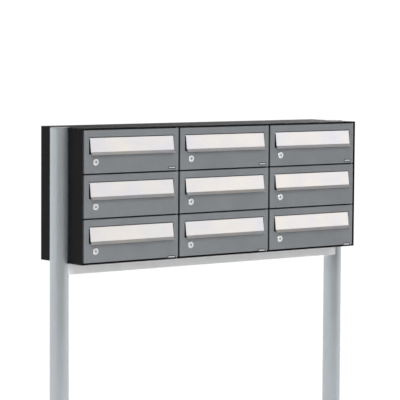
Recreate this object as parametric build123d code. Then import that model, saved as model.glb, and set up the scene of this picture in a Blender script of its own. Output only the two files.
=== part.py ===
from build123d import *
import os

# Cluster mailbox unit: nine letterboxes, three wide and three high, in one sheet metal casing
# that hangs between two round posts. Millimetres, +Z up, the doors face -Y.
# The origin is on the ground, at the centre of the unit's footprint.

os.makedirs("parts", exist_ok=True)

# ---- driving dimensions ----
COLUMNS = 3
ROWS = 3
BOX_W = 400.0            # width of one letterbox, centre to centre
BOX_H = 148.0            # height of one letterbox, centre to centre
DEPTH = 240.0            # door face to the back of the casing
TOTAL_H = 1450.0         # ground to the top of the roof
CASING_MARGIN = 4.0      # casing beyond the nine letterboxes, on all four sides
SHEET = 2.0              # casing, shelf and divider sheet
BACK_SHEET = 1.5
BACK_INSET = 1.0         # back sheet, in from the rear edges of the casing

COLUMN_GAP = 8.0         # between two doors side by side
ROW_GAP = 5.0            # between two doors one above the other
DOOR_SHEET = 1.5
DOOR_FLANGE = 16.0       # depth of the door's folded edges
DOOR_EDGE_R = 1.2        # bend radius on the outside of the folds
FRONT_INSET = 1.5        # front edges of the shelves and dividers, behind the door face
HEM_DEPTH = 12.0         # the dividers' front edges are folded back this far, to double thickness

HINGE_INSET = 4.0        # door hinge axis from the door's right edge and from its face
HINGE_PIN_R = 2.0
HINGE_CLEARANCE = 0.05
HINGE_PIN_REACH = 3.0    # pin length beyond the inner face of the door's gap

FLAP_W = 345.0
FLAP_SHEET = 1.2
FLAP_TOP = 120.0         # heights above the bottom line of the letterbox
FLAP_FOOT = 73.0
LIP_FOOT = 63.8
FLAP_LEAN = 6.0          # how far the flap's foot stands out from the door face
LIP_PROUD = 14.0         # how far the lip's edge stands out from the door face
LIP_BEND_R = 2.0         # inner radius of the fold between the flap and its lip
FLAP_AXIS_Y = 3.2        # flap axis behind the door face
FLAP_AXIS_Z = 118.6
FLAP_ROD_R = 2.5
FLAP_STUB_R = 1.5
FLAP_STUB_END = 178.6

SLOT_W = 352.0
SLOT_TOP = 122.8
SLOT_FOOT = 66.0
RAIN_EDGE_TOP = 80.0     # the upstand behind the flap, on which the flap rests
RAIN_EDGE_OUT = 3.4
RAIN_EDGE_W = 320.0
LUG_SHEET = 2.0
LUG_FACE = 177.0
LUG_DEPTH = 6.0
LUG_H = 9.2

LOCK_INSET = 47.0        # lock centre from the door's left edge
LOCK_Z = 40.0            # above the bottom line of the letterbox
LOCK_FACE_R = 11.5
LOCK_FACE_T = 2.0
LOCK_FACE_BEVEL = 0.8
LOCK_BARREL_R = 9.5
LOCK_HOLE_R = 9.8
LOCK_BARREL_END = 20.0
LOCK_NUT_AF = 24.0
LOCK_NUT_T = 5.0
PLUG_R = 6.5
PLUG_DISH_R = 4.2        # shallow dish round the keyhole
PLUG_DISH_DEPTH = 0.6
KEYHOLE_W = 2.0
KEYHOLE_H = 7.6
KEYHOLE_DEPTH = 6.0
CAM_REACH = 36.0
CAM_W = 14.0
CAM_T = 2.0
CAM_GAP = 0.3
CAM_SCREW_R = 4.0
CAM_SCREW_T = 2.5

STRIKE_INSET = 18.0      # strike brackets behind the door face
STRIKE_W = 25.0
STRIKE_H = 40.0
STRIKE_LEG = 22.0

POST_R = 32.5
POST_WALL = 2.5
POST_OUT = 6.0           # post axis outside the casing's side
POST_Y = 121.0           # post axis behind the door face
CHANNEL_GAP = 0.3        # between the post and the bottom of the side panel's channel
CHANNEL_HALF = 46.0      # half the width of the channel, wider than the post
NOTCH_GAP = 1.5          # between the post and the notches in the roof and the floor
CAP_T = 2.0
CAP_PLUG = 25.0
CAP_PLUG_WALL = 2.0
CAP_BEVEL = 0.6
BASE_W = 160.0
BASE_T = 8.0
BASE_CORNER_R = 8.0
BASE_BEVEL = 1.0
BASE_SPIGOT = 70.0
SPIGOT_WALL = 4.0
SPIGOT_GAP = 0.2
ANCHOR_SPACING = 120.0
ANCHOR_HOLE_R = 6.5
FOOT_SCREW_Z = 45.0      # screws through the post into the base plate's spigot
FOOT_SCREW_L = 9.0
THREAD_GAP = 0.1

BAR_H = 40.0
BAR_D = 60.0
BAR_WALL = 2.5
BAR_CORNER_R = 3.0
COPE_GAP = 0.2

BOLT_R = 4.0
BOLT_HOLE_R = 4.3
BOLT_HEAD_R = 6.5
BOLT_HEAD_T = 4.0
BOLT_L = 16.0
POST_BOLT_INSET = 74.0   # from the top and bottom of the casing
FLOOR_BOLTS_X = (-440.0, -160.0, 160.0, 440.0)

ROOF_LIP_H = 4.5
ROOF_LIP_T = 1.2
ROOF_LIP_GAP = 0.5       # between the ends of the roof's lip and the side panels
DRAIN_R = 2.5
DRAIN_APART = 180.0
DRAIN_INSET = 40.0       # behind the door face

# ---- derived places ----
CASING_W = COLUMNS * BOX_W + 2 * CASING_MARGIN
CASING_TOP = TOTAL_H
BOXES_TOP = CASING_TOP - CASING_MARGIN
BOXES_FOOT = BOXES_TOP - ROWS * BOX_H
CASING_FOOT = BOXES_FOOT - CASING_MARGIN
FACE_Y = (LIP_PROUD - DEPTH) / 2      # door face, so that the footprint is centred
BACK_Y = FACE_Y + DEPTH
SHELF_Y = FACE_Y + FRONT_INSET
POST_AXIS_Y = FACE_Y + POST_Y
POST_AXIS_X = CASING_W / 2 + POST_OUT
CHANNEL_X = POST_AXIS_X - POST_R - CHANNEL_GAP      # outer face of the channel's bottom
NOTCH_R = POST_R + NOTCH_GAP
DOOR_W = BOX_W - COLUMN_GAP
INNER_BACK = BACK_Y - BACK_INSET - BACK_SHEET
ROOM_W = CASING_W - 2 * SHEET


def block(x0, x1, y0, y1, z0, z1):
    """A box between two corners."""
    centre = ((x0 + x1) / 2, (y0 + y1) / 2, (z0 + z1) / 2)
    return Pos(*centre) * Box(x1 - x0, y1 - y0, z1 - z0)


def rod_x(x0, x1, y, z, r):
    """A round rod along X."""
    return Pos((x0 + x1) / 2, y, z) * Rot(0, 90, 0) * Cylinder(r, x1 - x0)


def rod_y(x, y0, y1, z, r):
    """A round rod along Y."""
    return Pos(x, (y0 + y1) / 2, z) * Rot(90, 0, 0) * Cylinder(r, y1 - y0)


def rod_z(x, y, z0, z1, r):
    """A round rod along Z."""
    return Pos(x, y, (z0 + z1) / 2) * Cylinder(r, z1 - z0)


def save(name, shape):
    """Write one node."""
    export_step(shape, f"parts/{name}.step")


def save_group(name, shapes):
    """Write one node that holds several separate pieces."""
    export_step(Compound(children=list(shapes)), f"parts/{name}.step")


def box_centre_x(column):
    """Centre of a column, counted from the left from 0."""
    return (column - (COLUMNS - 1) / 2) * BOX_W


def box_foot_z(row):
    """Bottom line of a row, counted from the top from 0."""
    return BOXES_TOP - (row + 1) * BOX_H


def hinge_x(column):
    """Door hinge axis of a column."""
    return box_centre_x(column) + DOOR_W / 2 - HINGE_INSET


HINGE_Y = FACE_Y + HINGE_INSET


# ---- posts and what they stand on ----
def foot_screw_holes(side, r):
    """Rods from a post's axis outwards, where its two foot screws go in: sideways and backwards."""
    x, z = side * POST_AXIS_X, FOOT_SCREW_Z
    sideways = rod_x(*sorted((x, x + side * POST_R)), POST_AXIS_Y, z, r)
    return sideways + rod_y(x, POST_AXIS_Y, POST_AXIS_Y + POST_R, z, r)


def post(side):
    """Round tube from the base plate to the cap, drilled for the panel's bolts and the foot screws."""
    x = side * POST_AXIS_X
    top = TOTAL_H - CAP_T
    tube = rod_z(x, POST_AXIS_Y, BASE_T, top, POST_R)
    tube -= rod_z(x, POST_AXIS_Y, BASE_T, top, POST_R - POST_WALL)
    for z in post_bolt_heights():
        tube -= rod_x(min(0, x), max(0, x), POST_AXIS_Y, z, BOLT_HOLE_R)
    return tube - foot_screw_holes(side, BOLT_HOLE_R)


def post_cap(side):
    """Flat cap with a plug that goes down inside the tube."""
    x = side * POST_AXIS_X
    plug_r = POST_R - POST_WALL - SPIGOT_GAP
    disc = rod_z(x, POST_AXIS_Y, TOTAL_H - CAP_T, TOTAL_H, POST_R)
    disc = chamfer(disc.edges().group_by(Axis.Z)[-1], CAP_BEVEL)
    plug = rod_z(x, POST_AXIS_Y, TOTAL_H - CAP_T - CAP_PLUG, TOTAL_H - CAP_T, plug_r)
    plug -= rod_z(x, POST_AXIS_Y, TOTAL_H - CAP_T - CAP_PLUG, TOTAL_H - CAP_T, plug_r - CAP_PLUG_WALL)
    return disc + plug


def base_plate(side):
    """Square foot plate with four anchor holes and a spigot that stands inside the post."""
    x = side * POST_AXIS_X
    half = BASE_W / 2
    plate = block(x - half, x + half, POST_AXIS_Y - half, POST_AXIS_Y + half, 0, BASE_T)
    plate = fillet(plate.edges().filter_by(Axis.Z), BASE_CORNER_R)
    plate = chamfer(plate.faces().sort_by(Axis.Z)[-1].edges(), BASE_BEVEL)
    spigot_r = POST_R - POST_WALL - SPIGOT_GAP
    plate += rod_z(x, POST_AXIS_Y, BASE_T, BASE_T + BASE_SPIGOT, spigot_r)
    plate -= rod_z(x, POST_AXIS_Y, 0, BASE_T + BASE_SPIGOT, spigot_r - SPIGOT_WALL)
    plate -= foot_screw_holes(side, BOLT_R + THREAD_GAP)
    for sx in (-1, 1):
        for sy in (-1, 1):
            hx = x + sx * ANCHOR_SPACING / 2
            hy = POST_AXIS_Y + sy * ANCHOR_SPACING / 2
            plate -= rod_z(hx, hy, 0, BASE_T, ANCHOR_HOLE_R)
    return plate


def foot_screws(side):
    """Two flat-headed screws that hold a post on its spigot, one sideways and one backwards."""
    x, z = side * POST_AXIS_X, FOOT_SCREW_Z
    edge_x, edge_y = x + side * POST_R, POST_AXIS_Y + POST_R
    tip_x, top_x = edge_x - side * FOOT_SCREW_L, edge_x + side * BOLT_HEAD_T
    sideways = rod_x(*sorted((tip_x, edge_x)), POST_AXIS_Y, z, BOLT_R)
    sideways += rod_x(*sorted((edge_x, top_x)), POST_AXIS_Y, z, BOLT_HEAD_R)
    backwards = rod_y(x, edge_y - FOOT_SCREW_L, edge_y, z, BOLT_R)
    backwards += rod_y(x, edge_y, edge_y + BOLT_HEAD_T, z, BOLT_HEAD_R)
    return [sideways, backwards]


def crossbar():
    """Rectangular tube under the casing, its ends coped round the posts."""
    top = CASING_FOOT
    mid = (POST_AXIS_Y, top - BAR_H / 2)
    outer = Pos(0, *mid) * Box(2 * POST_AXIS_X, BAR_D, BAR_H)
    outer = fillet(outer.edges().filter_by(Axis.X), BAR_CORNER_R)
    inner = Pos(0, *mid) * Box(2 * POST_AXIS_X, BAR_D - 2 * BAR_WALL, BAR_H - 2 * BAR_WALL)
    bar = outer - inner
    for side in (-1, 1):
        x = side * POST_AXIS_X
        bar -= rod_z(x, POST_AXIS_Y, top - BAR_H, top, POST_R + COPE_GAP)
    for x in FLOOR_BOLTS_X:
        bar -= rod_z(x, POST_AXIS_Y, top - BAR_WALL, top, BOLT_HOLE_R)
    return bar


# ---- casing ----
def post_bolt_heights():
    """Heights of the bolts that hold the casing to a post."""
    return (CASING_FOOT + POST_BOLT_INSET, CASING_TOP - POST_BOLT_INSET)


def mirrored_block(side, x0, x1, *yz):
    """A block given on the right-hand side, or its mirror image on the left."""
    return block(min(side * x0, side * x1), max(side * x0, side * x1), *yz)


def side_panel(side):
    """Side sheet with a square channel folded into it, in which the post stands."""
    outer = CASING_W / 2
    z0, z1 = CASING_FOOT + SHEET, CASING_TOP - SHEET
    y0, y1 = POST_AXIS_Y - CHANNEL_HALF, POST_AXIS_Y + CHANNEL_HALF
    wall = mirrored_block(side, outer - SHEET, outer, FACE_Y, BACK_Y, z0, z1)
    wall += mirrored_block(side, CHANNEL_X - SHEET, outer, y0 - SHEET, y1 + SHEET, z0, z1)
    wall -= mirrored_block(side, CHANNEL_X, outer, y0, y1, z0, z1)
    for z in post_bolt_heights():
        wall -= rod_x(min(0, side * outer), max(0, side * outer), POST_AXIS_Y, z, BOLT_HOLE_R)
    return wall


def notched(plate, z0, z1):
    """Cut the two round post notches into a roof or floor plate."""
    for side in (-1, 1):
        plate -= rod_z(side * POST_AXIS_X, POST_AXIS_Y, z0, z1, NOTCH_R)
    return plate


def roof_panel():
    """Flat roof sheet with a short lip folded down at the front."""
    half = CASING_W / 2
    plate = block(-half, half, FACE_Y, BACK_Y, CASING_TOP - SHEET, CASING_TOP)
    plate = notched(plate, CASING_TOP - SHEET, CASING_TOP)
    lip_half = half - SHEET - ROOF_LIP_GAP
    lip_foot = CASING_TOP - ROOF_LIP_H
    return plate + block(-lip_half, lip_half, FACE_Y, FACE_Y + ROOF_LIP_T, lip_foot, CASING_TOP - SHEET)


def floor_panel():
    """Flat floor sheet, drilled for the crossbar's bolts and for drainage."""
    half = CASING_W / 2
    top = CASING_FOOT + SHEET
    plate = notched(block(-half, half, FACE_Y, BACK_Y, CASING_FOOT, top), CASING_FOOT, top)
    for x in FLOOR_BOLTS_X:
        plate -= rod_z(x, POST_AXIS_Y, CASING_FOOT, top, BOLT_HOLE_R)
    for column in range(COLUMNS):
        for side in (-1, 1):
            x = box_centre_x(column) + side * DRAIN_APART / 2
            plate -= rod_z(x, FACE_Y + DRAIN_INSET, CASING_FOOT, top, DRAIN_R)
    return plate


def back_panel():
    """Back sheet, let in between the side panels, roof and floor."""
    half = ROOM_W / 2
    return block(-half, half, INNER_BACK, INNER_BACK + BACK_SHEET, CASING_FOOT + SHEET, CASING_TOP - SHEET)


def shelf(level):
    """Shelf across all columns, notched for the channels, with slots from behind for the dividers."""
    z = BOXES_TOP - level * BOX_H
    z0, z1 = z - SHEET / 2, z + SHEET / 2
    half = ROOM_W / 2
    plate = block(-half, half, SHELF_Y, INNER_BACK, z0, z1)
    y0, y1 = POST_AXIS_Y - CHANNEL_HALF - SHEET, POST_AXIS_Y + CHANNEL_HALF + SHEET
    for side in (-1, 1):
        plate -= mirrored_block(side, CHANNEL_X - SHEET, half, y0, y1, z0, z1)
    for x in divider_lines():
        plate -= block(x - SHEET / 2, x + SHEET / 2, half_depth(), INNER_BACK, z0, z1)
    return plate


def half_depth():
    """Where a shelf's slots meet a divider's slots."""
    return (SHELF_Y + INNER_BACK) / 2


def divider_lines():
    """X places of the upright dividers."""
    return [box_centre_x(column) + BOX_W / 2 for column in range(COLUMNS - 1)]


def divider(x):
    """Upright sheet with a hemmed front edge, slotted from the front for the shelves."""
    foot, top = CASING_FOOT + SHEET, CASING_TOP - SHEET
    plate = block(x - SHEET / 2, x + SHEET / 2, SHELF_Y, INNER_BACK, foot, top)
    plate += block(x - SHEET, x + SHEET, SHELF_Y, SHELF_Y + HEM_DEPTH, foot, top)
    for level in range(1, ROWS):
        z = BOXES_TOP - level * BOX_H
        plate -= block(x - SHEET, x + SHEET, SHELF_Y, half_depth(), z - SHEET / 2, z + SHEET / 2)
    return plate


def hinge_pins():
    """Short pins on the shelves, roof and floor, one above and one below each door."""
    pins = []
    reach = ROW_GAP / 2 + HINGE_PIN_REACH
    for column in range(COLUMNS):
        for row in range(ROWS):
            foot = box_foot_z(row)
            top = foot + BOX_H
            upper = top + (CASING_MARGIN - SHEET if row == 0 else -SHEET / 2)
            lower = foot - (CASING_MARGIN - SHEET if row == ROWS - 1 else -SHEET / 2)
            pins.append(rod_z(hinge_x(column), HINGE_Y, top - reach, upper, HINGE_PIN_R))
            pins.append(rod_z(hinge_x(column), HINGE_Y, lower, foot + reach, HINGE_PIN_R))
    return pins


def strike_bracket(row, column):
    """Angle on the left wall of a compartment, behind which the lock cam turns."""
    line = box_centre_x(column) - BOX_W / 2
    wall = -ROOM_W / 2 if column == 0 else line + SHEET / 2
    z = box_foot_z(row) + LOCK_Z
    z0, z1 = z - STRIKE_H / 2, z + STRIKE_H / 2
    y0 = FACE_Y + STRIKE_INSET
    plate = block(wall, line + STRIKE_W, y0, y0 + SHEET, z0, z1)
    return plate + block(wall, wall + SHEET, y0, y0 + STRIKE_LEG, z0, z1)


def post_bolt(side, z):
    """Bolt from inside the casing through the channel into the post."""
    inner = CHANNEL_X - SHEET
    x0, x1 = side * (inner - BOLT_HEAD_T), side * inner
    tip = side * (inner + BOLT_L)
    head = rod_x(min(x0, x1), max(x0, x1), POST_AXIS_Y, z, BOLT_HEAD_R)
    return head + rod_x(min(x1, tip), max(x1, tip), POST_AXIS_Y, z, BOLT_R)


def floor_bolt(x):
    """Bolt from inside the casing through the floor into the crossbar."""
    top = CASING_FOOT + SHEET
    head = rod_z(x, POST_AXIS_Y, top, top + BOLT_HEAD_T, BOLT_HEAD_R)
    return head + rod_z(x, POST_AXIS_Y, top - BOLT_L, top, BOLT_R)


# ---- doors ----
def long_section(outline, cx, foot, width):
    """An outline in Y and Z, from the door face and the letterbox's foot, drawn out along X."""
    section = Plane.YZ * Polygon(*[(FACE_Y + y, foot + z) for y, z in outline], align=None)
    return Pos(cx - width / 2, 0, 0) * extrude(section, width, dir=(1, 0, 0))


def rain_edge(cx, foot):
    """Upstand folded out from the slot's lower edge; it sheds rain and stops the flap."""
    t = DOOR_SHEET
    slope_top = SLOT_FOOT + RAIN_EDGE_OUT + t
    outline = [
        (0.0, SLOT_FOOT - t),
        (-RAIN_EDGE_OUT, slope_top - t),
        (-RAIN_EDGE_OUT, RAIN_EDGE_TOP),
        (t - RAIN_EDGE_OUT, RAIN_EDGE_TOP),
        (t - RAIN_EDGE_OUT, slope_top),
        (t, SLOT_FOOT),
        (t, SLOT_FOOT - t),
    ]
    return long_section(outline, cx, foot, RAIN_EDGE_W)


def flap_lug(cx, foot, side):
    """Lug behind the door sheet at one end of the letter slot, drilled for the flap's stub."""
    y0, z0 = FACE_Y + DOOR_SHEET, foot + FLAP_AXIS_Z - LUG_H / 2
    x0, x1 = sorted((cx + side * LUG_FACE, cx + side * (LUG_FACE + LUG_SHEET)))
    lug = block(x0, x1, y0, y0 + LUG_DEPTH, z0, z0 + LUG_H)
    return lug - rod_x(x0, x1, FACE_Y + FLAP_AXIS_Y, foot + FLAP_AXIS_Z, FLAP_STUB_R + HINGE_CLEARANCE)


def door_panel(row, column):
    """Door pan with the letter slot, its rain edge, the flap lugs, the lock and hinge holes."""
    cx = box_centre_x(column)
    foot = box_foot_z(row)
    t = DOOR_SHEET
    z0, z1 = foot + ROW_GAP / 2, foot + BOX_H - ROW_GAP / 2
    x0, x1 = cx - DOOR_W / 2, cx + DOOR_W / 2
    pan = block(x0, x1, FACE_Y, FACE_Y + DOOR_FLANGE, z0, z1)
    pan = fillet(pan.faces().sort_by(Axis.Y)[0].edges(), DOOR_EDGE_R)
    pan -= block(x0 + t, x1 - t, FACE_Y + t, FACE_Y + DOOR_FLANGE, z0 + t, z1 - t)
    slot_x = SLOT_W / 2
    pan -= block(cx - slot_x, cx + slot_x, FACE_Y, FACE_Y + t, foot + SLOT_FOOT, foot + SLOT_TOP)
    pan += rain_edge(cx, foot)
    for side in (-1, 1):
        pan += flap_lug(cx, foot, side)
    pan -= rod_y(x0 + LOCK_INSET, FACE_Y, FACE_Y + t, foot + LOCK_Z, LOCK_HOLE_R)
    for foot_z, top_z in ((z0, z0 + t), (z1 - t, z1)):
        pan -= rod_z(hinge_x(column), HINGE_Y, foot_z, top_z, HINGE_PIN_R + HINGE_CLEARANCE)
    return pan


def flap(row, column):
    """Stainless flap: leaning sheet, flared finger lip, and a rod with a stub at each end."""
    cx = box_centre_x(column)
    foot = box_foot_z(row)
    s = FLAP_SHEET
    outline = [
        (0.0, FLAP_TOP),
        (-FLAP_LEAN, FLAP_FOOT),
        (-LIP_PROUD, LIP_FOOT),
        (-LIP_PROUD + s, LIP_FOOT),
        (-FLAP_LEAN + s, FLAP_FOOT + s / 2),
        (s, FLAP_TOP),
    ]
    sheet = long_section(outline, cx, foot, FLAP_W)
    front_fold = (-FLAP_LEAN, FLAP_FOOT, LIP_BEND_R)
    back_fold = (s - FLAP_LEAN, FLAP_FOOT + s / 2, LIP_BEND_R + s)
    for y, z, radius in (front_fold, back_fold):
        fold = sheet.edges().filter_by(Axis.X).sort_by_distance((cx, FACE_Y + y, foot + z))[0]
        sheet = fillet(fold, radius)
    rod_at = (FACE_Y + FLAP_AXIS_Y, foot + FLAP_AXIS_Z)
    sheet += rod_x(cx - FLAP_W / 2, cx + FLAP_W / 2, *rod_at, FLAP_ROD_R)
    sheet += rod_x(cx - FLAP_STUB_END, cx + FLAP_STUB_END, *rod_at, FLAP_STUB_R)
    return sheet


def lock_at(row, column):
    """Lock axis: x and z."""
    return box_centre_x(column) - DOOR_W / 2 + LOCK_INSET, box_foot_z(row) + LOCK_Z


def lock_housing(row, column):
    """Fixed half of the lock: the flanged barrel and the nut behind the door sheet."""
    x, z = lock_at(row, column)
    face = rod_y(x, FACE_Y - LOCK_FACE_T, FACE_Y, z, LOCK_FACE_R)
    face = chamfer(face.edges().group_by(Axis.Y)[0], LOCK_FACE_BEVEL)
    barrel = face + rod_y(x, FACE_Y, FACE_Y + LOCK_BARREL_END, z, LOCK_BARREL_R)
    bore = PLUG_R + HINGE_CLEARANCE
    barrel -= rod_y(x, FACE_Y - LOCK_FACE_T, FACE_Y + LOCK_BARREL_END, z, bore)
    nut_y = FACE_Y + DOOR_SHEET
    hexagon = extrude(RegularPolygon(LOCK_NUT_AF / 2, 6, major_radius=False), LOCK_NUT_T)
    nut = Pos(x, nut_y + LOCK_NUT_T, z) * Rot(90, 0, 0) * hexagon
    nut -= rod_y(x, nut_y, nut_y + LOCK_NUT_T, z, LOCK_BARREL_R + THREAD_GAP)
    return [barrel, nut]


def lock_cam(row, column):
    """Turning half of the lock: the plug with its keyhole, the cam (hanging down) and its screw."""
    x, z = lock_at(row, column)
    front = FACE_Y - LOCK_FACE_T
    cam_y = FACE_Y + LOCK_BARREL_END + CAM_GAP
    plug = rod_y(x, front, cam_y, z, PLUG_R)
    plug -= rod_y(x, front, front + PLUG_DISH_DEPTH, z, PLUG_DISH_R)
    half_w, half_h = KEYHOLE_W / 2, KEYHOLE_H / 2
    plug -= block(x - half_w, x + half_w, front, front + KEYHOLE_DEPTH, z - half_h, z + half_h)
    arm = block(x - CAM_W / 2, x + CAM_W / 2, cam_y, cam_y + CAM_T, z - CAM_REACH, z)
    arm += rod_y(x, cam_y, cam_y + CAM_T, z, LOCK_BARREL_R)
    screw = rod_y(x, cam_y + CAM_T, cam_y + CAM_T + CAM_SCREW_T, z, CAM_SCREW_R)
    return plug + arm + screw


# ---- write every node ----
for name, side in (("left", -1), ("right", 1)):
    save(f"post_{name}", post(side))
    save(f"post_cap_{name}", post_cap(side))
    save(f"base_plate_{name}", base_plate(side))
    save(f"side_panel_{name}", side_panel(side))

save("crossbar", crossbar())
save("roof_panel", roof_panel())
save("floor_panel", floor_panel())
save("back_panel", back_panel())

for name, x in zip(("left", "right"), divider_lines()):
    save(f"divider_{name}", divider(x))

for level, name in ((1, "upper"), (2, "lower")):
    save(f"shelf_{name}", shelf(level))

save_group("hinge_pins", hinge_pins())
save_group("strike_brackets", [strike_bracket(r, c) for r in range(ROWS) for c in range(COLUMNS)])
save_group("post_bolts", [post_bolt(side, z) for side in (-1, 1) for z in post_bolt_heights()])
save_group("foot_screws", foot_screws(-1) + foot_screws(1))
save_group("floor_bolts", [floor_bolt(x) for x in FLOOR_BOLTS_X])

for row in range(ROWS):
    for column in range(COLUMNS):
        tag = f"r{row + 1}c{column + 1}"
        save(f"door_panel_{tag}", door_panel(row, column))
        save(f"flap_{tag}", flap(row, column))
        save_group(f"lock_housing_{tag}", lock_housing(row, column))
        save(f"lock_cam_{tag}", lock_cam(row, column))
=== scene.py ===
import math

import bmesh
import bpy
from mathutils import Matrix, Vector


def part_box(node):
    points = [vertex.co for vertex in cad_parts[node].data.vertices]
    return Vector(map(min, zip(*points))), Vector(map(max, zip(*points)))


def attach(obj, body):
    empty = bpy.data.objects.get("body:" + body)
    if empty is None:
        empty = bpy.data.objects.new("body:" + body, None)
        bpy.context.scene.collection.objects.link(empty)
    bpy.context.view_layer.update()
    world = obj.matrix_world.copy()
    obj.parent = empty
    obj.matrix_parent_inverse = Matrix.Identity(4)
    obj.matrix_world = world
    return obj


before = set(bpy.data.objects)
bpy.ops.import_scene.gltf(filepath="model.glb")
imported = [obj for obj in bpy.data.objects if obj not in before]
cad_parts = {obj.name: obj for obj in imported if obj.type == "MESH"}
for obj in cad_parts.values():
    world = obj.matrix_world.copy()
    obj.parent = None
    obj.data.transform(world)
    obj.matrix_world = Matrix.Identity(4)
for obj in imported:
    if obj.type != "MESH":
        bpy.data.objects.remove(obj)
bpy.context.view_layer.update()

MM = 0.001
ROWS = 3
COLUMNS = 3
TAGS = [f"r{row + 1}c{column + 1}" for row in range(ROWS) for column in range(COLUMNS)]

# ---- places, all from the frame ----
DOOR_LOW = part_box("door_panel_r3c1")[0]
FACE_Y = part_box("floor_panel")[0][1]
COLUMN_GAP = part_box("door_panel_r1c2")[0][0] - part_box("door_panel_r1c1")[1][0]
ROW_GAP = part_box("door_panel_r1c1")[0][2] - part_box("door_panel_r2c1")[1][2]
BOXES_LEFT = DOOR_LOW[0] - COLUMN_GAP / 2
BOXES_FOOT = DOOR_LOW[2] - ROW_GAP / 2

# ---- camera values ----
CAMERA_FROM_BOXES = (-4.1112, -5.8284, 0.7572)  # from the boxes' lower left front corner
CAMERA_YAW = -38.29
CAMERA_PITCH = 4.35
CAMERA_ROLL = 0.38
SENSOR_W = 36.0
LENS = 195.4
VIEW_END = 500.0

# ---- small pieces' values ----
PLATE_W = 32 * MM
PLATE_H = 9 * MM
PLATE_RIM = 2.5 * MM
PLATE_CORNER_R = 2.8 * MM
PLATE_INSET = 12 * MM    # from the door's right edge
PLATE_RISE = {"r1": 12.3 * MM, "r3": 4.0 * MM}  # plate's middle above the row's bottom line
PLATE_PROUD = 0.9 * MM
PLATE_FIELD_PROUD = 0.6 * MM
PLATE_SEAT = 0.02 * MM   # air between the door and the plate's back
SHUTTER_R = 4.0 * MM
SHUTTER_SLOT = (0.9 * MM, 3.4 * MM)     # half width and half height of its slot
SHUTTER_DEPTHS = (0.15 * MM, 0.55 * MM)  # its front and back, behind the plug's face
SHUTTER_STEPS = 48
NEAR_ZERO = 1e-6

# ---- studio values ----
FLOOR_R = 5.5
FLOOR_STEPS = 96
FLOOR_DROP = 0.5 * MM
KEY_AT = (-2.6, -4.2, 4.2)
KEY_TOWARDS = (0.0, 0.0, 1.2)
KEY_SIZE = (2.4, 2.4)
KEY_POWER = 110.0
OVERHEAD_STRENGTH = 2.3
OVERHEAD_SOFTNESS = 30.0
OVERHEAD_AT = (0.0, 0.0, 5.0)
WORLD_STRENGTH = 1.1
BACKDROP = 0.95
SKY_STOPS = ((0.0, 1.0), (0.3, 1.0), (0.62, 0.18), (1.0, 0.3))  # height of the direction and level
# each panel: the direction of its middle, cosines of its rim and its core, and its level,
# below 1 for a dark flag and above 1 for a reflector
PANELS = (
    ((-0.3, -0.95, -0.4), 0.38, 0.93, 0.08),
    ((-0.9, -0.44, 0.0), 0.2, 0.95, 0.8),
    ((0.24, 0.88, 0.42), 0.84, 0.90, 0.2),
    ((0.85, 0.53, 0.2), 0.925, 0.98, 6.0),
)


# ---- camera ----
def add_camera():
    """Long lens, a little above the casing's top, looking at the front and the left side."""
    at = Vector((BOXES_LEFT, FACE_Y, BOXES_FOOT)) + Vector(CAMERA_FROM_BOXES)
    yaw, pitch, roll = (math.radians(a) for a in (CAMERA_YAW, CAMERA_PITCH, CAMERA_ROLL))
    turn = Matrix.Rotation(yaw, 4, "Z") @ Matrix.Rotation(math.pi / 2 - pitch, 4, "X")
    turn = turn @ Matrix.Rotation(roll, 4, "Z")
    data = bpy.data.cameras.new("view_camera")
    data.sensor_width = SENSOR_W
    data.lens = LENS
    data.clip_end = VIEW_END
    camera = bpy.data.objects.new("view_camera", data)
    camera.matrix_world = Matrix.Translation(at) @ turn
    bpy.context.scene.collection.objects.link(camera)
    bpy.context.scene.camera = camera


# ---- node helpers ----
def as_colour(value):
    """A grey level or an RGB triple as RGBA."""
    if isinstance(value, (int, float)):
        return (value, value, value, 1.0)
    return (*value, 1.0)


def shade(colour, gain):
    """A colour made darker or lighter; the gain is one number, or one for each channel."""
    gains = (gain,) * len(colour) if isinstance(gain, float) else gain
    return tuple(level * factor for level, factor in zip(colour, gains))


def fill_ramp(ramp, stops):
    """Set a colour ramp's stops, each a place and a value."""
    while len(ramp.elements) < len(stops):
        ramp.elements.new(0.5)
    for element, (place, value) in zip(ramp.elements, stops):
        element.position = place
        element.color = as_colour(value)


def mix_node(tree, mode="MIX"):
    """A colour mix as four sockets: its factor, its two colours and its result."""
    node = tree.nodes.new("ShaderNodeMix")
    node.data_type = "RGBA"
    node.blend_type = mode
    first, second = [s for s in node.inputs if s.type == "RGBA"]
    result = next(s for s in node.outputs if s.type == "RGBA")
    return node.inputs["Factor"], first, second, result


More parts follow.
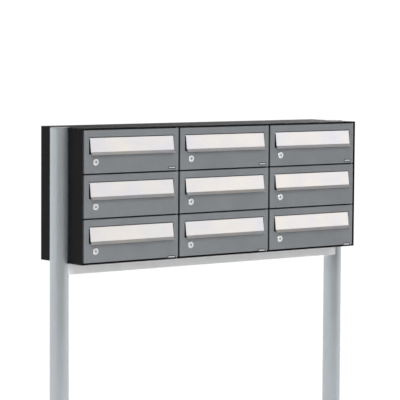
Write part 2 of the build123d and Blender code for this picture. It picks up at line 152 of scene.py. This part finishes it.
class Paint:
    """One procedural material: a principled shader and short calls that feed it."""

    def __init__(self, name, **sockets):
        self.material = bpy.data.materials.new(name)
        self.material.use_nodes = True
        self.tree = self.material.node_tree
        self.shader = self.tree.nodes["Principled BSDF"]
        for socket, value in sockets.items():
            self.shader.inputs[socket.replace("_", " ")].default_value = value
        self.coords = self.tree.nodes.new("ShaderNodeTexCoord")

    def link(self, source, target):
        self.tree.links.new(source, target)

    def feed(self, socket, source):
        """Link a node's output to one of the shader's sockets."""
        self.link(source, self.shader.inputs[socket])

    def scaled(self, scale):
        """Object coordinates stretched by a scale per axis."""
        node = self.tree.nodes.new("ShaderNodeMapping")
        node.inputs["Scale"].default_value = scale
        self.link(self.coords.outputs["Object"], node.inputs["Vector"])
        return node.outputs["Vector"]

    def noise(self, scale, detail=3.0, rough=0.5, stretch=(1, 1, 1)):
        node = self.tree.nodes.new("ShaderNodeTexNoise")
        node.inputs["Scale"].default_value = scale
        node.inputs["Detail"].default_value = detail
        node.inputs["Roughness"].default_value = rough
        self.link(self.scaled(stretch), node.inputs["Vector"])
        return node.outputs["Fac"]

    def cells(self, scale):
        node = self.tree.nodes.new("ShaderNodeTexVoronoi")
        node.inputs["Scale"].default_value = scale
        self.link(self.scaled((1, 1, 1)), node.inputs["Vector"])
        return node

    def ramp(self, source, low, high, start=0.3, end=0.7):
        """A value or colour that goes from low to high while the source goes from start to end."""
        node = self.tree.nodes.new("ShaderNodeValToRGB")
        fill_ramp(node.color_ramp, ((start, low), (end, high)))
        self.link(source, node.inputs["Fac"])
        return node.outputs["Color"]

    def mix(self, factor, a, b, mode="MIX"):
        """Blend two colours; each argument is a number, a colour or another node's output."""
        amount, first, second, result = mix_node(self.tree, mode)
        for value, socket in ((factor, amount), (a, first), (b, second)):
            if isinstance(value, bpy.types.NodeSocket):
                self.link(value, socket)
            elif socket.type == "RGBA":
                socket.default_value = as_colour(value)
            else:
                socket.default_value = value
        return result

    def rounded_normal(self, radius):
        """The surface's normal with its sharp edges rounded off."""
        bevel = self.tree.nodes.new("ShaderNodeBevel")
        bevel.samples = 4
        bevel.inputs["Radius"].default_value = radius
        return bevel.outputs["Normal"]

    def bump(self, *layers, rounded=0.0):
        """Stack bumps on rounded edges: each layer is a height and its depth in metres."""
        normal = self.rounded_normal(rounded) if rounded else None
        for height, depth in layers:
            node = self.tree.nodes.new("ShaderNodeBump")
            node.inputs["Strength"].default_value = 1.0
            node.inputs["Distance"].default_value = depth
            self.link(height, node.inputs["Height"])
            if normal is not None:
                self.link(normal, node.inputs["Normal"])
            normal = node.outputs["Normal"]
        self.feed("Normal", normal)

    def edge_mask(self, radius):
        """Near 1 on sharp edges and 0 on flat faces."""
        geometry = self.tree.nodes.new("ShaderNodeNewGeometry")
        dot = self.tree.nodes.new("ShaderNodeVectorMath")
        dot.operation = "DOT_PRODUCT"
        self.link(self.rounded_normal(radius), dot.inputs[0])
        self.link(geometry.outputs["Normal"], dot.inputs[1])
        return self.ramp(dot.outputs["Value"], 1.0, 0.0, start=0.82, end=0.995)


# ---- materials ----
DUST = (0.42, 0.4, 0.37)
SPANGLE_DARK = (0.42, 0.44, 0.46)
SPANGLE_LIGHT = (0.66, 0.68, 0.7)
DULL_ZINC = (0.5, 0.5, 0.49)
YELLOW_ZINC = (0.62, 0.6, 0.52)
BLUE_ZINC = (0.58, 0.62, 0.66)


def powder_coat(name, colour, edge_highlight_and_wear, rough, grain, specular):
    """Fine-textured powder coat: soft mottling, dust in the grain, and lighter edges that are partly a
    painted edge highlight and partly slight rubbing.
    """
    paint = Paint(name, Specular_IOR_Level=specular)
    broad = paint.noise(9.0, detail=4.0, rough=0.55)
    fine = paint.noise(grain, detail=2.0, rough=0.6)
    speck = paint.noise(grain * 0.35, detail=3.0, rough=0.7)
    body = paint.ramp(broad, shade(colour, 0.93), shade(colour, 1.06))
    dust = paint.ramp(speck, 0.55, 1.5, start=0.35, end=0.65)
    speckled = paint.mix(0.16, body, dust, "MULTIPLY")
    # the lighter edge colour is partly a painted edge highlight and partly slight rubbing of the coat
    paint.feed("Base Color", paint.mix(paint.edge_mask(1.1 * MM), speckled, edge_highlight_and_wear))
    paint.feed("Roughness", paint.ramp(fine, rough - 0.07, rough + 0.08))
    paint.bump((speck, 0.12 * MM), (fine, 0.05 * MM), rounded=0.6 * MM)
    return paint.material


def brushed_steel(name, colour, rough):
    """Stainless sheet brushed along its length, with faint warm and cool clouds."""
    paint = Paint(name, Metallic=1.0)
    streaks = paint.noise(14.0, detail=5.0, rough=0.7, stretch=(2.0, 220.0, 220.0))
    clouds = paint.noise(7.0, detail=3.0, rough=0.5)
    warm = shade(colour, (1.04, 1.01, 0.96))
    cool = shade(colour, (0.95, 0.95, 1.01))
    tint = paint.ramp(clouds, warm, cool, start=0.35, end=0.65)
    paint.feed("Base Color", paint.mix(0.25, tint, paint.ramp(streaks, 0.8, 1.1), "MULTIPLY"))
    smudges = paint.noise(26.0, detail=4.0, rough=0.6)
    lined = paint.ramp(streaks, rough - 0.06, rough + 0.1)
    paint.feed("Roughness", paint.mix(0.35, lined, paint.ramp(smudges, rough, rough + 0.12)))
    paint.bump((streaks, 0.02 * MM), rounded=0.3 * MM)
    return paint.material


def anodised(name, colour, rough):
    """Natural anodised extrusion: faint die lines along Z and a cloudy skin that scatters half the light."""
    paint = Paint(name, Metallic=0.5)
    lines = paint.noise(60.0, detail=4.0, rough=0.65, stretch=(8.0, 8.0, 0.12))
    clouds = paint.noise(5.0, detail=4.0, rough=0.5)
    skin = paint.ramp(clouds, shade(colour, 0.97), shade(colour, 1.02))
    paint.feed("Base Color", paint.mix(0.3, skin, paint.ramp(lines, 0.86, 1.08), "MULTIPLY"))
    paint.feed("Roughness", paint.ramp(lines, rough - 0.05, rough + 0.06))
    paint.bump((lines, 0.02 * MM), (paint.noise(1500.0, detail=1.0), 0.01 * MM))
    return paint.material


def satin_coat(name, colour, rough):
    """Light satin paint, with a faint orange peel and a little dust."""
    paint = Paint(name)
    clouds = paint.noise(8.0, detail=4.0, rough=0.5)
    peel = paint.noise(420.0, detail=2.0, rough=0.5)
    body = paint.ramp(clouds, shade(colour, 0.96), shade(colour, 1.03))
    dust = paint.ramp(paint.noise(60.0, detail=5.0, rough=0.7), 0.0, 0.12, start=0.45, end=0.8)
    paint.feed("Base Color", paint.mix(dust, body, DUST))
    paint.feed("Roughness", paint.ramp(peel, rough - 0.05, rough + 0.06))
    paint.bump((peel, 0.04 * MM))
    return paint.material


def nickel(name, colour, rough):
    """Satin nickel plating with turning marks and small scratches."""
    paint = Paint(name, Metallic=1.0)
    marks = paint.noise(900.0, detail=4.0, rough=0.7, stretch=(1.0, 0.2, 1.0))
    stain = paint.noise(120.0, detail=3.0, rough=0.6)
    paint.feed("Base Color", paint.ramp(stain, shade(colour, 0.88), colour, start=0.3, end=0.6))
    paint.feed("Roughness", paint.ramp(marks, rough - 0.05, rough + 0.12))
    paint.bump((marks, 0.02 * MM))
    return paint.material


def galvanised(name):
    """Hot-dip zinc: spangle cells in slightly different greys."""
    paint = Paint(name, Metallic=1.0)
    cells = paint.cells(140.0)
    spangle = cells.outputs["Color"]
    grey = paint.ramp(spangle, SPANGLE_DARK, SPANGLE_LIGHT, start=0.1, end=0.9)
    dull = paint.ramp(paint.noise(30.0, detail=5.0, rough=0.6), 0.0, 0.5, start=0.4, end=0.75)
    paint.feed("Base Color", paint.mix(dull, grey, DULL_ZINC))
    paint.feed("Roughness", paint.ramp(spangle, 0.38, 0.6, start=0.1, end=0.9))
    paint.bump((cells.outputs["Distance"], 0.06 * MM))
    return paint.material


def zinc(name):
    """Bright zinc-plated hardware with a faint yellow and blue cast."""
    paint = Paint(name, Metallic=1.0)
    cast = paint.noise(90.0, detail=3.0, rough=0.5)
    paint.feed("Base Color", paint.ramp(cast, YELLOW_ZINC, BLUE_ZINC, start=0.35, end=0.65))
    paint.feed("Roughness", paint.ramp(paint.noise(400.0, detail=3.0, rough=0.6), 0.28, 0.45))
    paint.bump((paint.noise(1200.0, detail=2.0), 0.02 * MM))
    return paint.material


def moulded(name, colour, rough):
    """Moulded plastic or enamel with a fine grain."""
    paint = Paint(name)
    grain = paint.noise(1300.0, detail=2.0, rough=0.6)
    clouds = paint.noise(20.0, detail=3.0, rough=0.5)
    paint.feed("Base Color", paint.ramp(clouds, shade(colour, 0.94), shade(colour, 1.05)))
    paint.feed("Roughness", paint.ramp(grain, rough - 0.08, rough + 0.08))
    paint.bump((grain, 0.05 * MM))
    return paint.material


def pale_floor(name, radius):
    """Pale studio floor that fades into the white surround towards its rim."""
    paint = Paint(name, Roughness=0.7, Specular_IOR_Level=0.2)
    clouds = paint.noise(0.8, detail=3.0, rough=0.5)
    paint.feed("Base Color", paint.ramp(clouds, 0.87, 0.9))
    middle = paint.tree.nodes.new("ShaderNodeTexGradient")
    middle.gradient_type = "SPHERICAL"
    paint.link(paint.scaled((1 / radius, 1 / radius, 1.0)), middle.inputs["Vector"])
    paint.feed("Alpha", paint.ramp(middle.outputs["Fac"], 0.0, 1.0, start=0.02, end=0.5))
    paint.bump((paint.noise(300.0, detail=2.0), 0.05 * MM))
    return paint.material


DOOR_COAT = powder_coat(
    "door_coat", (0.226, 0.24, 0.252),
    edge_highlight_and_wear=(0.30, 0.31, 0.315), rough=0.5, grain=1700.0, specular=0.35,
)
CASING_COAT = powder_coat(
    "casing_coat", (0.0072, 0.0071, 0.0076),
    edge_highlight_and_wear=(0.04, 0.04, 0.042), rough=0.55, grain=1300.0, specular=0.08,
)
STEEL = brushed_steel("stainless", (0.9, 0.885, 0.88), rough=0.28)
POST_SKIN = anodised("anodised_post", (0.465, 0.5, 0.522), rough=0.32)
BAR_COAT = satin_coat("crossbar_coat", (0.89, 0.895, 0.9), rough=0.4)
LOCK_NICKEL = nickel("lock_nickel", (0.88, 0.885, 0.88), rough=0.16)
PLUG_NICKEL = nickel("plug_nickel", (0.8, 0.8, 0.79), rough=0.28)
GALVANISED = galvanised("galvanised")
ZINC = zinc("zinc_hardware")
CAP_PLASTIC = moulded("cap_plastic", (0.24, 0.25, 0.26), rough=0.5)
SHUTTER_STEEL = nickel("shutter_steel", (0.5, 0.5, 0.49), rough=0.34)
ENAMEL = moulded("plate_enamel", (0.03, 0.031, 0.033), rough=0.5)
PLATE_FIELD = brushed_steel("plate_field", (0.75, 0.75, 0.76), rough=0.35)

FINISH = {
    "post_left": POST_SKIN,
    "post_right": POST_SKIN,
    "post_cap_left": CAP_PLASTIC,
    "post_cap_right": CAP_PLASTIC,
    "base_plate_left": GALVANISED,
    "base_plate_right": GALVANISED,
    "crossbar": BAR_COAT,
    "hinge_pins": ZINC,
    "strike_brackets": ZINC,
    "post_bolts": ZINC,
    "floor_bolts": ZINC,
    "foot_screws": ZINC,
}
PREFIX_FINISH = {
    "door_panel_": DOOR_COAT,
    "flap_": STEEL,
    "lock_housing_": LOCK_NICKEL,
    "lock_cam_": PLUG_NICKEL,
}


def finish_of(node):
    """The material of a CAD node."""
    for prefix, material in PREFIX_FINISH.items():
        if node.startswith(prefix):
            return material
    return FINISH.get(node, CASING_COAT)


def dress_frame():
    """Give every CAD node its material."""
    for name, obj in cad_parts.items():
        obj.data.materials.clear()
        obj.data.materials.append(finish_of(name))


# ---- making the small pieces ----
def loop_of(mesh, points, y):
    """A closed ring of vertices at one depth; the points are X and Z."""
    return [mesh.verts.new((x, y, z)) for x, z in points]


def bridge(mesh, first, second):
    """Quads between two rings with the same number of vertices."""
    count = len(first)
    for i in range(count):
        after = (i + 1) % count
        mesh.faces.new((first[i], first[after], second[after], second[i]))


def rounded_outline(centre, width, height, radius, steps=5):
    """Rounded rectangle in X and Z, as a list of points."""
    points = []
    corners = ((1, 1, 0), (-1, 1, 90), (-1, -1, 180), (1, -1, 270))
    for sx, sz, start in corners:
        cx = centre[0] + sx * (width / 2 - radius)
        cz = centre[1] + sz * (height / 2 - radius)
        for step in range(steps + 1):
            angle = math.radians(start + 90.0 * step / steps)
            points.append((cx + radius * math.cos(angle), cz + radius * math.sin(angle)))
    return points


def finish_piece(name, mesh, materials, body):
    """Turn a bmesh into an object that rides on a body."""
    bmesh.ops.recalc_face_normals(mesh, faces=mesh.faces)
    data = bpy.data.meshes.new(name)
    mesh.to_mesh(data)
    mesh.free()
    for material in materials:
        data.materials.append(material)
    piece = bpy.data.objects.new(name, data)
    bpy.context.scene.collection.objects.link(piece)
    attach(piece, body)


def add_name_plate(tag, rise):
    """Blank plate with a raised dark rim at the door's lower right corner."""
    low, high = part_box(f"door_panel_{tag}")
    centre = (high[0] - PLATE_INSET - PLATE_W / 2, low[2] - ROW_GAP / 2 + rise)
    back_y = FACE_Y - PLATE_SEAT
    # from the plate's back over its rim to the field: each ring's inset and how far it stands out
    rings = (
        (0.0, 0.0),
        (0.0, 0.7 * MM),
        (0.25 * MM, PLATE_PROUD),
        (PLATE_RIM, PLATE_PROUD),
        (PLATE_RIM + 0.15 * MM, PLATE_FIELD_PROUD),
    )
    mesh = bmesh.new()
    loops = []
    for inset, proud in rings:
        outline = rounded_outline(centre, PLATE_W - 2 * inset, PLATE_H - 2 * inset, PLATE_CORNER_R - inset)
        loops.append(loop_of(mesh, outline, back_y - proud))
    for first, second in zip(loops, loops[1:]):
        bridge(mesh, first, second)
    mesh.faces.new(loops[0])
    mesh.faces.new(loops[-1]).material_index = 1
    finish_piece(f"name_plate_{tag}", mesh, (ENAMEL, PLATE_FIELD), f"door_{tag}")


def add_dust_shutter(tag):
    """Slotted steel disc in the dish of the lock's plug."""
    plug_low, plug_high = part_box(f"lock_cam_{tag}")
    face_low, face_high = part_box(f"lock_housing_{tag}")
    x = (plug_low[0] + plug_high[0]) / 2
    z = (face_low[2] + face_high[2]) / 2
    half_w, half_h = SHUTTER_SLOT
    angles = [2 * math.pi * i / SHUTTER_STEPS for i in range(SHUTTER_STEPS)]
    rim = [(x + SHUTTER_R * math.cos(a), z + SHUTTER_R * math.sin(a)) for a in angles]
    slot = []
    for a in angles:
        across = half_w / max(abs(math.cos(a)), NEAR_ZERO)
        up = half_h / max(abs(math.sin(a)), NEAR_ZERO)
        reach = min(across, up)
        slot.append((x + reach * math.cos(a), z + reach * math.sin(a)))
    front, back = (plug_low[1] + depth for depth in SHUTTER_DEPTHS)
    mesh = bmesh.new()
    rings = ((rim, back), (rim, front), (slot, front), (slot, back))
    loops = [loop_of(mesh, points, y) for points, y in rings]
    for first, second in zip(loops, loops[1:] + loops[:1]):
        bridge(mesh, first, second)
    finish_piece(f"dust_shutter_{tag}", mesh, (SHUTTER_STEEL,), f"lock_{tag}")


def add_small_pieces():
    """Plates on the doors of the top and bottom rows, and a shutter in every lock."""
    for column in range(COLUMNS):
        for row, rise in PLATE_RISE.items():
            add_name_plate(f"{row}c{column + 1}", rise)
    for tag in TAGS:
        add_dust_shutter(tag)


# ---- studio ----
def add_floor():
    """Round pale floor just under the base plates."""
    bpy.ops.mesh.primitive_circle_add(
        vertices=FLOOR_STEPS, radius=FLOOR_R, fill_type="NGON", location=(0, 0, -FLOOR_DROP)
    )
    floor = bpy.context.object
    floor.name = "studio_floor"
    floor.data.materials.append(pale_floor("studio_floor", FLOOR_R))


def add_panel(tree, light, towards, panel):
    """Multiply the light by a panel's level round the direction of its middle, with a soft rim."""
    direction, rim, core, level = panel
    dot = tree.nodes.new("ShaderNodeVectorMath")
    dot.operation = "DOT_PRODUCT"
    dot.inputs[1].default_value = Vector(direction).normalized()
    tree.links.new(towards, dot.inputs[0])
    shape = tree.nodes.new("ShaderNodeMapRange")
    shape.interpolation_type = "SMOOTHSTEP"
    limits = {"From Min": rim, "From Max": core, "To Min": 1.0, "To Max": level}
    for socket, value in limits.items():
        shape.inputs[socket].default_value = value
    tree.links.new(dot.outputs["Value"], shape.inputs["Value"])
    amount, first, second, result = mix_node(tree, "MULTIPLY")
    amount.default_value = 1.0
    tree.links.new(light, first)
    tree.links.new(shape.outputs["Result"], second)
    return result


def add_world():
    """White studio: bright round the horizon, dimmer overhead, with soft flags and a reflector."""
    world = bpy.data.worlds.new("studio")
    world.use_nodes = True
    bpy.context.scene.world = world
    tree = world.node_tree
    towards = tree.nodes.new("ShaderNodeTexCoord").outputs["Generated"]
    parts = tree.nodes.new("ShaderNodeSeparateXYZ")
    tree.links.new(towards, parts.inputs["Vector"])
    sky = tree.nodes.new("ShaderNodeValToRGB")
    fill_ramp(sky.color_ramp, SKY_STOPS)
    tree.links.new(parts.outputs["Z"], sky.inputs["Fac"])
    light = sky.outputs["Color"]
    for panel in PANELS:
        light = add_panel(tree, light, towards, panel)
    # the panels only shape what the object reflects: the backdrop stays plain from every side
    path = tree.nodes.new("ShaderNodeLightPath")
    seen, reflected, backdrop, result = mix_node(tree)
    tree.links.new(path.outputs["Is Camera Ray"], seen)
    tree.links.new(light, reflected)
    backdrop.default_value = as_colour(BACKDROP)
    background = tree.nodes["Background"]
    tree.links.new(result, background.inputs["Color"])
    background.inputs["Strength"].default_value = WORLD_STRENGTH


def add_key_light():
    """Square soft box in front, high on the left."""
    data = bpy.data.lights.new("key_soft_box", "AREA")
    data.shape = "RECTANGLE"
    data.size, data.size_y = KEY_SIZE
    data.energy = KEY_POWER
    light = bpy.data.objects.new("key_soft_box", data)
    light.location = KEY_AT
    light.rotation_euler = (Vector(KEY_TOWARDS) - Vector(KEY_AT)).to_track_quat("-Z", "Y").to_euler()
    bpy.context.scene.collection.objects.link(light)


def add_overhead_light():
    """Wide light from straight above, which whitens the floor and grazes the doors."""
    data = bpy.data.lights.new("overhead", "SUN")
    data.energy = OVERHEAD_STRENGTH
    data.angle = math.radians(OVERHEAD_SOFTNESS)
    light = bpy.data.objects.new("overhead", data)
    light.location = OVERHEAD_AT
    bpy.context.scene.collection.objects.link(light)


add_camera()
dress_frame()
add_small_pieces()
add_floor()
add_world()
add_key_light()
add_overhead_light()

scene = bpy.context.scene
scene.view_settings.view_transform = "Standard"
scene.view_settings.look = "None"
